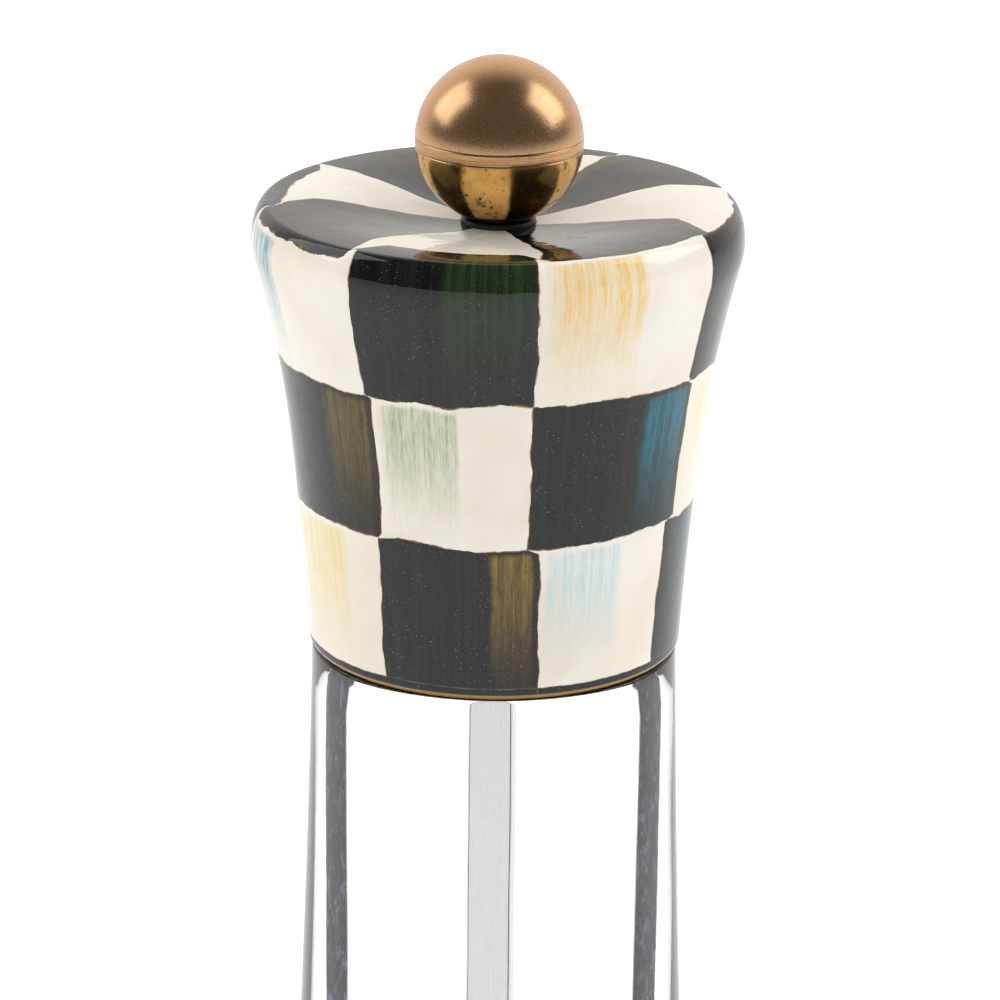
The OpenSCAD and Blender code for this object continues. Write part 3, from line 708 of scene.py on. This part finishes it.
def body_outline():
    # A hair of air under the head lets the shoulder mirror the light, as real acrylic does
    top = shoulder_z - JOINT_GAP
    neck_z = shoulder_z + NECK_H
    side = lean_curve(SHOULDER_R, top - SHOULDER_ROUND, top - SHOULDER_ROUND - WAIST_Z,
                      SHOULDER_LEAN, WAIST_LEAN, -1, 60)
    foot = lean_curve(side[-1][0], WAIST_Z, WAIST_Z - RING_T - BASE_ROUND, WAIST_LEAN,
                      BASE_LEAN, -1, 40)
    foot_r = foot[-1][0]
    points = [(NECK_R - NECK_EDGE, neck_z), (NECK_R, neck_z - NECK_EDGE), (NECK_R, top)]
    points += arc(SHOULDER_R - SHOULDER_ROUND, top - SHOULDER_ROUND, SHOULDER_ROUND, 90, 0, 8)
    points += side[1:] + foot[1:]
    points += arc(foot_r - BASE_ROUND, RING_T + BASE_ROUND, BASE_ROUND, -15, -90, 8)
    points += [(RECESS_R, RING_T), (RECESS_R, RECESS_Z), (SEAT_R, RECESS_Z),
               (SEAT_R, SEAT_TOP), (THROAT_R, SEAT_TOP), (BORE_WALL_R, FUNNEL_Z)]
    points += [(BORE_WALL_R, FUNNEL_Z + (shoulder_z - MOUTH_H - FUNNEL_Z) * i / 20)
               for i in range(1, 20)]
    # The mouth opens out evenly up to the neck's rim
    mouth_low, mouth_high = shoulder_z - MOUTH_H, neck_z - NECK_EDGE
    points += [(BORE_WALL_R + (MOUTH_R - BORE_WALL_R) * i / 12,
                mouth_low + (mouth_high - mouth_low) * i / 12) for i in range(13)]
    return points + [(MOUTH_R + NECK_EDGE, neck_z)]


body_points = body_outline()
clear_body = turn("clear_body", body_points, around=256, smooth_angle=30)
print("body's foot is %.1f mm across" % (2 * max(r for r, z in body_points) / MM))

# %% Clear acrylic
# The range of slants that shows dark, and the width over which it comes and goes
STRIP_FROM, STRIP_TO, STRIP_EDGE = 0.240, 0.332, 0.010
BORE_SLACK = 0.02 * MM
acrylic = Finish("clear_acrylic", Base_Color=(1, 1, 1), Transmission_Weight=1.0, IOR=1.49,
                 Roughness=0.0)
ripples = acrylic.noise(acrylic.stretched(60, 60, 14), 1.0, 2, 0.5)
scuffs = acrylic.noise(acrylic.place(), 500, 3, 0.6)
acrylic.shade(Normal=acrylic.bump(acrylic.math("ADD", ripples, acrylic.math(
    "MULTIPLY", scuffs, 0.02)), 0.12))
trapped = Finish("acrylic_bore", Base_Color=(1, 1, 1), Transmission_Weight=1.0, IOR=1.49,
                 Roughness=0.0)
# Painted shade: over a band of slants the bore is coloured dark and mottled, and stops letting
# light through
slant = trapped.node("LayerWeight", {"Blend": 0.5}, out=1)
from_inside = trapped.node("NewGeometry", out=6)
band = trapped.math("MULTIPLY", trapped.between(slant, STRIP_FROM, STRIP_FROM + STRIP_EDGE),
                    trapped.between(slant, STRIP_TO - STRIP_EDGE, STRIP_TO, 1.0, 0.0))
band = trapped.math("MULTIPLY", band, from_inside)
mottle = trapped.noise(trapped.stretched(900, 900, 420), 1.0, 5, 0.75)
clouds = trapped.noise(trapped.stretched(300, 300, 90), 1.0, 3, 0.6)
painted_strip_shade = trapped.mix(trapped.between(mottle, 0.46, 0.66), paint_colour(3, 2, 6),
                   paint_colour(104, 98, 128))
painted_strip_shade = trapped.mix(trapped.between(clouds, 0.45, 0.62, 0.0, 0.7), painted_strip_shade, paint_colour(10, 9, 16))
trapped.shade(Base_Color=trapped.mix(band, (1, 1, 1), painted_strip_shade))
trapped.shade(Transmission_Weight=trapped.math("SUBTRACT", 1.0, band))
finish_with(clear_body, acrylic, trapped)
bore_faces = 0
for face in clear_body.data.polygons:
    middle = face.center
    if math.hypot(middle.x, middle.y) < MOUTH_R + BORE_SLACK and middle.z > FUNNEL_Z:
        face.material_index = 1
        bore_faces += 1
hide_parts("body")
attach(clear_body, "base")
print("faces of the bore:", bore_faces)

# %% [markdown]
# ## The shaft
# The square shaft is extruded aluminium, sawn off and lightly deburred. It turns the grinder
# when the head is turned. Its edges are slightly round, and drawing marks run along it. The
# rounded edges get a dark finish of their own: painted shade, a shortcut for how dark they
# look through the thick wall.

# %% Make the square shaft
# The shaft stands a little turned from the mill's front. Just below the shoulder a short zone
# gets a painted shadow of the head: where it begins, is full, begins to fade and is gone
SHAFT_W, SHAFT_EDGE, SHAFT_TURN = 6.0 * MM, 0.3 * MM, math.radians(-6.5)
HEAD_SHADOW_ZONE = (-5.6 * MM, -4.6 * MM, -3.9 * MM, -3.7 * MM)


def square_shaft():
    mesh = bmesh.new()
    low, high = foot_of("shaft"), top_of("shaft")
    bmesh.ops.create_cube(mesh, size=1)
    for vert in mesh.verts:
        vert.co = (vert.co.x * SHAFT_W, vert.co.y * SHAFT_W, low if vert.co.z < 0 else high)
    bmesh.ops.bevel(mesh, geom=list(mesh.edges), offset=SHAFT_EDGE, segments=3, affect="EDGES")
    bmesh.ops.rotate(mesh, verts=mesh.verts, cent=(0, 0, 0),
                     matrix=Matrix.Rotation(SHAFT_TURN, 3, "Z"))
    return piece_from(mesh, "square_shaft", 35)


shaft = square_shaft()
aluminium = Finish("extruded_aluminium", Metallic=0.85)
draw_marks = aluminium.noise(aluminium.stretched(2600, 2600, 30), 1.0, 4, 0.65)
mill_marks = aluminium.noise(aluminium.stretched(500, 500, 900), 1.0, 3, 0.6)
tone = aluminium.mix(aluminium.between(draw_marks, 0.35, 0.7), (0.58, 0.58, 0.59),
                     (0.68, 0.68, 0.68))
tone = aluminium.mix(aluminium.between(mill_marks, 0.55, 0.8, 0.0, 0.3), tone,
                     (0.42, 0.42, 0.44))
# Painted shadow of the head: a darker, hatched band just below the shoulder
up = aluminium.math("SUBTRACT", aluminium.parts(aluminium.place())[2], shoulder_z)
painted_head_shadow = aluminium.math("MULTIPLY", aluminium.between(up, *HEAD_SHADOW_ZONE[:2]),
                        aluminium.between(up, *HEAD_SHADOW_ZONE[2:], 1.0, 0.0))
hatch = aluminium.noise(aluminium.stretched(3600, 3600, 260), 1.0, 2, 0.5)
painted_head_shadow = aluminium.math("MULTIPLY", painted_head_shadow, aluminium.between(hatch, 0.35, 0.6, 0.15, 0.8))
tone = aluminium.mix(painted_head_shadow, tone, (0.22, 0.22, 0.23))
aluminium.shade(Base_Color=tone, Roughness=aluminium.between(draw_marks, 0.3, 0.7, 0.34, 0.5))
aluminium.shade(Normal=aluminium.bump(draw_marks, 0.02))
# Painted shade: the rounded edges are coloured near black and mottled, for how dark they look
# through the wall
edges = Finish("painted_shade_edges", Metallic=0.2)
edge_shade_mottle = edges.noise(edges.stretched(900, 900, 220), 1.0, 4, 0.65)
edges.shade(Base_Color=edges.mix(edges.between(edge_shade_mottle, 0.45, 0.7), (0.015, 0.015, 0.018),
                                 (0.14, 0.14, 0.15)))
edges.shade(Roughness=edges.between(edge_shade_mottle, 0.3, 0.7, 0.3, 0.5))
edges.shade(Normal=edges.bump(edge_shade_mottle, 0.02))
finish_with(shaft, aluminium, edges)
turned_back = Matrix.Rotation(-SHAFT_TURN, 3, "Z")
for face in shaft.data.polygons:
    is_flat = max(abs(c) for c in turned_back @ face.normal) > 0.999
    face.material_index = 0 if is_flat else 1
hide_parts("shaft")
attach(shaft, "shaft")
print("shaft is %.1f mm long" % ((top_of("shaft") - foot_of("shaft")) / MM))

# %% [markdown]
# ## Metal, nylon and rubber for the small parts
# The grinder's parts keep their own shapes from the frame. Each gets a finish that says how it
# was made: machined, pressed from sheet, drawn into wire, or moulded.

# %% Finishes of the small parts
def steel(name, light, dark, rough, along):
    """Steel with fine marks; along squeezes the marks in x, y and z."""
    made = Finish(name, Metallic=1.0)
    marks = made.noise(made.stretched(*along), 1.0, 4, 0.65)
    spots = made.noise(made.place(), 400, 3, 0.6)
    tone = made.mix(made.between(marks, 0.35, 0.7), light, dark)
    made.shade(Base_Color=made.mix(made.between(spots, 0.6, 0.75, 0.0, 0.3), tone, dark))
    made.shade(Roughness=made.between(marks, 0.3, 0.7, rough - 0.06, rough + 0.08))
    made.shade(Normal=made.bump(marks, 0.015))
    return made


def moulded(name, colour, rough, grain_mm, depth):
    """Plastic or rubber from a mould, with a fine even grain."""
    made = Finish(name, Roughness=rough, Specular_IOR_Level=0.5)
    grain = made.noise(made.place(), 1 / (grain_mm * MM), 2, 0.5)
    lighter = tuple(min(1, c * 1.25 + 0.004) for c in colour)
    made.shade(Base_Color=made.mix(made.between(grain, 0.35, 0.7), colour, lighter))
    made.shade(Normal=made.bump(grain, depth))
    return made


burr = steel("machined_steel", (0.60, 0.60, 0.58), (0.46, 0.46, 0.45), 0.32, (300, 300, 5000))
strap = steel("rolled_strap", (0.62, 0.63, 0.64), (0.50, 0.51, 0.53), 0.36, (200, 4000, 4000))
screw = steel("plated_screw", (0.68, 0.68, 0.66), (0.52, 0.52, 0.50), 0.26, (2500, 2500, 2500))
wire = steel("spring_wire", (0.52, 0.52, 0.50), (0.38, 0.38, 0.38), 0.28, (1500, 1500, 4000))
insert = steel("machined_brass", (0.66, 0.46, 0.20), (0.50, 0.33, 0.13), 0.3, (300, 300, 5000))
nylon = moulded("white_nylon", (0.70, 0.68, 0.63), 0.42, 0.5, 0.01)
black_nylon = moulded("black_nylon", (0.010, 0.010, 0.011), 0.32, 0.4, 0.02)
rubber = moulded("ring_rubber", (0.012, 0.012, 0.012), 0.7, 0.35, 0.05)

SMALL_PARTS = {
    "stator": burr, "rotor": burr, "bridge": strap, "drive_plate": strap,
    "bridge_screws": screw, "drive_plate_screws": screw, "shaft_stud": screw,
    "rotor_washer": screw, "retaining_clip": wire, "screw_inserts": insert,
    "bridge_bush": nylon, "head_bushing": black_nylon,
}
for name, finish in SMALL_PARTS.items():
    finish_with(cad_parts[name], finish)
print("finished parts:", len(SMALL_PARTS))

# %% [markdown]
# ## Washer and base ring
# Both are rings with softly rounded edges. The washer is black nylon between ball and head. The
# rubber ring under the foot has shallow grooves, so that the mill doesn't slide.

# %% Turn the two rings
def rounded_ring(name, outer, inner, low, high, edge, grooves=0, groove=0.0):
    points = arc(inner + edge, high - edge, edge, 180, 90, 5)
    points += arc(outer - edge, high - edge, edge, 90, 0, 5)
    points += arc(outer - edge, low + edge, edge, 0, -90, 5)
    span = (outer - inner - 2 * edge) / (grooves + 1) if grooves else 0
    for i in range(grooves):
        middle = outer - edge - span * (i + 1)
        points += [(middle + 2 * groove, low), (middle + groove, low + groove),
                   (middle - groove, low + groove), (middle - 2 * groove, low)]
    points += arc(inner + edge, low + edge, edge, -90, -180, 5)
    return turn(name, points, around=160)


washer = rounded_ring("knob_washer_ring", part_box("knob_washer")[1][0], 2.8 * MM, seat_z,
                      flat_z, 0.2 * MM)
finish_with(washer, black_nylon)
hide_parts("knob_washer")
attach(washer, "knob_seat")

base = rounded_ring("rubber_base_ring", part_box("base_ring")[1][0], 24.9 * MM, 0.0, RING_T,
                    0.25 * MM, grooves=3, groove=0.2 * MM)
finish_with(base, rubber)
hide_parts("base_ring")
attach(base, "base")

# %% [markdown]
# ## The spring
# A coil of round wire presses the grinding cone up. It is swept as a tube along a helix whose
# end turns lie flat, with more sides than the imported one, so that its highlights run smoothly.

# %% Coil the spring
def coil():
    low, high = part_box("spring")
    wire_r = 0.4 * MM
    radius = high[0] - wire_r
    foot, head_z = low[2] + wire_r, high[2] - wire_r
    turns, flat = 3.5, 0.75
    free = turns - 2 * flat
    lift = wire_r
    curve = bpy.data.curves.new("spring_coil", "CURVE")
    curve.dimensions = "3D"
    curve.bevel_depth = wire_r
    curve.bevel_resolution = 5
    curve.use_fill_caps = True
    steps = int(turns * 48)
    line = curve.splines.new("POLY")
    line.points.add(steps)
    for i in range(steps + 1):
        t = turns * i / steps
        rise = 0 if t < flat else 1 if t > flat + free else (
            1 - math.cos(math.pi * (t - flat) / free)) / 2
        z = (foot + lift * min(t, flat) / flat + (head_z - foot - 2 * lift) * rise
             + lift * max(0, t - turns + flat) / flat)
        a = 2 * math.pi * t
        line.points[i].co = (radius * math.cos(a), radius * math.sin(a), z, 1)
    path = bpy.data.objects.new("spring_path", curve)
    bpy.context.scene.collection.objects.link(path)
    bpy.context.view_layer.update()
    data = bpy.data.meshes.new_from_object(path.evaluated_get(
        bpy.context.evaluated_depsgraph_get()))
    bpy.data.objects.remove(path)
    piece = bpy.data.objects.new("spring_coil", data)
    bpy.context.scene.collection.objects.link(piece)
    return piece


spring = coil()
finish_with(spring, wire)
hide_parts("spring")
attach(spring, "carrier")
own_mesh(spring)

# %% [markdown]
# ## The studio
# The mill stands on a wide white floor in white light. Clear acrylic looks clear only when all
# that it bends towards the eye is white. Brass and black varnish look like themselves only when
# they mirror something darker, with bright windows in it. So the sky is white for light that
# comes straight or through the acrylic. For mirrored light it is a room, dim in front and
# brighter towards the back, and for all other light an even fill. The floor glows for the same
# straight light, so that it meets the sky without an edge. Two large soft lights stand at the
# mill's sides as its windows.

# %% Floor
FLOOR_HALF, FLOOR_DROP = 6.0, 0.2 * MM
floor_mesh = bmesh.new()
bmesh.ops.create_grid(floor_mesh, x_segments=1, y_segments=1, size=FLOOR_HALF)
floor = piece_from(floor_mesh, "floor", 30)
floor.location.z = -FLOOR_DROP
white_floor = Finish("white_floor", Base_Color=(0.93, 0.93, 0.93), Roughness=0.9)
path = white_floor.tree.nodes.new("ShaderNodeLightPath")
seen = white_floor.math("MAXIMUM", path.outputs["Is Camera Ray"],
                        path.outputs["Is Transmission Ray"])
white_floor.shade(Emission_Color=(1, 1, 1),
                  Emission_Strength=white_floor.between(seen, 0.0, 1.0, 0.05, 0.45))
finish_with(floor, white_floor)
print("floor is %.0f m wide" % (2 * FLOOR_HALF))

# %% Sky
world = bpy.data.worlds.new("studio")
bpy.context.scene.world = world
world.use_nodes = True
sky = world.node_tree
sky.nodes.clear()
rays = sky.nodes.new("ShaderNodeLightPath")


def glow(colour, strength=1.0):
    """One light of the sky, of an even colour and strength."""
    made = sky.nodes.new("ShaderNodeBackground")
    made.inputs[0].default_value = (*colour, 1)
    made.inputs[1].default_value = strength
    return made


white, room, fill = glow((1, 1, 1)), glow((1, 0.94, 0.88)), glow((1, 0.99, 0.97), 0.90)
heading = sky.nodes.new("ShaderNodeTexCoord")
compass = sky.nodes.new("ShaderNodeSeparateXYZ")
backward = sky.nodes.new("ShaderNodeMapRange")
backward.interpolation_type = "SMOOTHSTEP"
for name, value in (("From Min", 0.05), ("From Max", 0.85), ("To Min", 0.09), ("To Max", 1.0)):
    backward.inputs[name].default_value = value
sky.links.new(heading.outputs["Generated"], compass.inputs[0])
sky.links.new(compass.outputs["Y"], backward.inputs["Value"])
sky.links.new(backward.outputs[0], room.inputs["Strength"])
mirrored = sky.nodes.new("ShaderNodeMixShader")
sky.links.new(rays.outputs["Is Glossy Ray"], mirrored.inputs[0])
sky.links.new(fill.outputs[0], mirrored.inputs[1])
sky.links.new(room.outputs[0], mirrored.inputs[2])
straight = sky.nodes.new("ShaderNodeMath")
straight.operation = "MAXIMUM"
sky.links.new(rays.outputs["Is Camera Ray"], straight.inputs[0])
sky.links.new(rays.outputs["Is Transmission Ray"], straight.inputs[1])
choice = sky.nodes.new("ShaderNodeMixShader")
end = sky.nodes.new("ShaderNodeOutputWorld")
sky.links.new(straight.outputs[0], choice.inputs[0])
sky.links.new(mirrored.outputs[0], choice.inputs[1])
sky.links.new(white.outputs[0], choice.inputs[2])
sky.links.new(choice.outputs[0], end.inputs[0])

# %% Soft lights
def soft_light(name, bearing, rise, distance, width, height, power):
    light = bpy.data.lights.new(name, "AREA")
    light.shape = "RECTANGLE"
    light.size, light.size_y, light.energy = width, height, power
    made = bpy.data.objects.new(name, light)
    a, e = math.radians(bearing), math.radians(rise)
    middle = Vector((0, 0, 0.17))
    made.location = middle + distance * Vector((math.sin(a) * math.cos(e),
                                                -math.cos(a) * math.cos(e), math.sin(e)))
    made.rotation_euler = (middle - made.location).to_track_quat("-Z", "Y").to_euler()
    bpy.context.scene.collection.objects.link(made)
    return made


soft_light("window_right", 98, 37, 1.15, 0.75, 0.85, 4.1)
soft_light("window_left", -100, 37, 1.15, 0.75, 0.85, 3.6)
bpy.context.scene.view_settings.view_transform = "Standard"
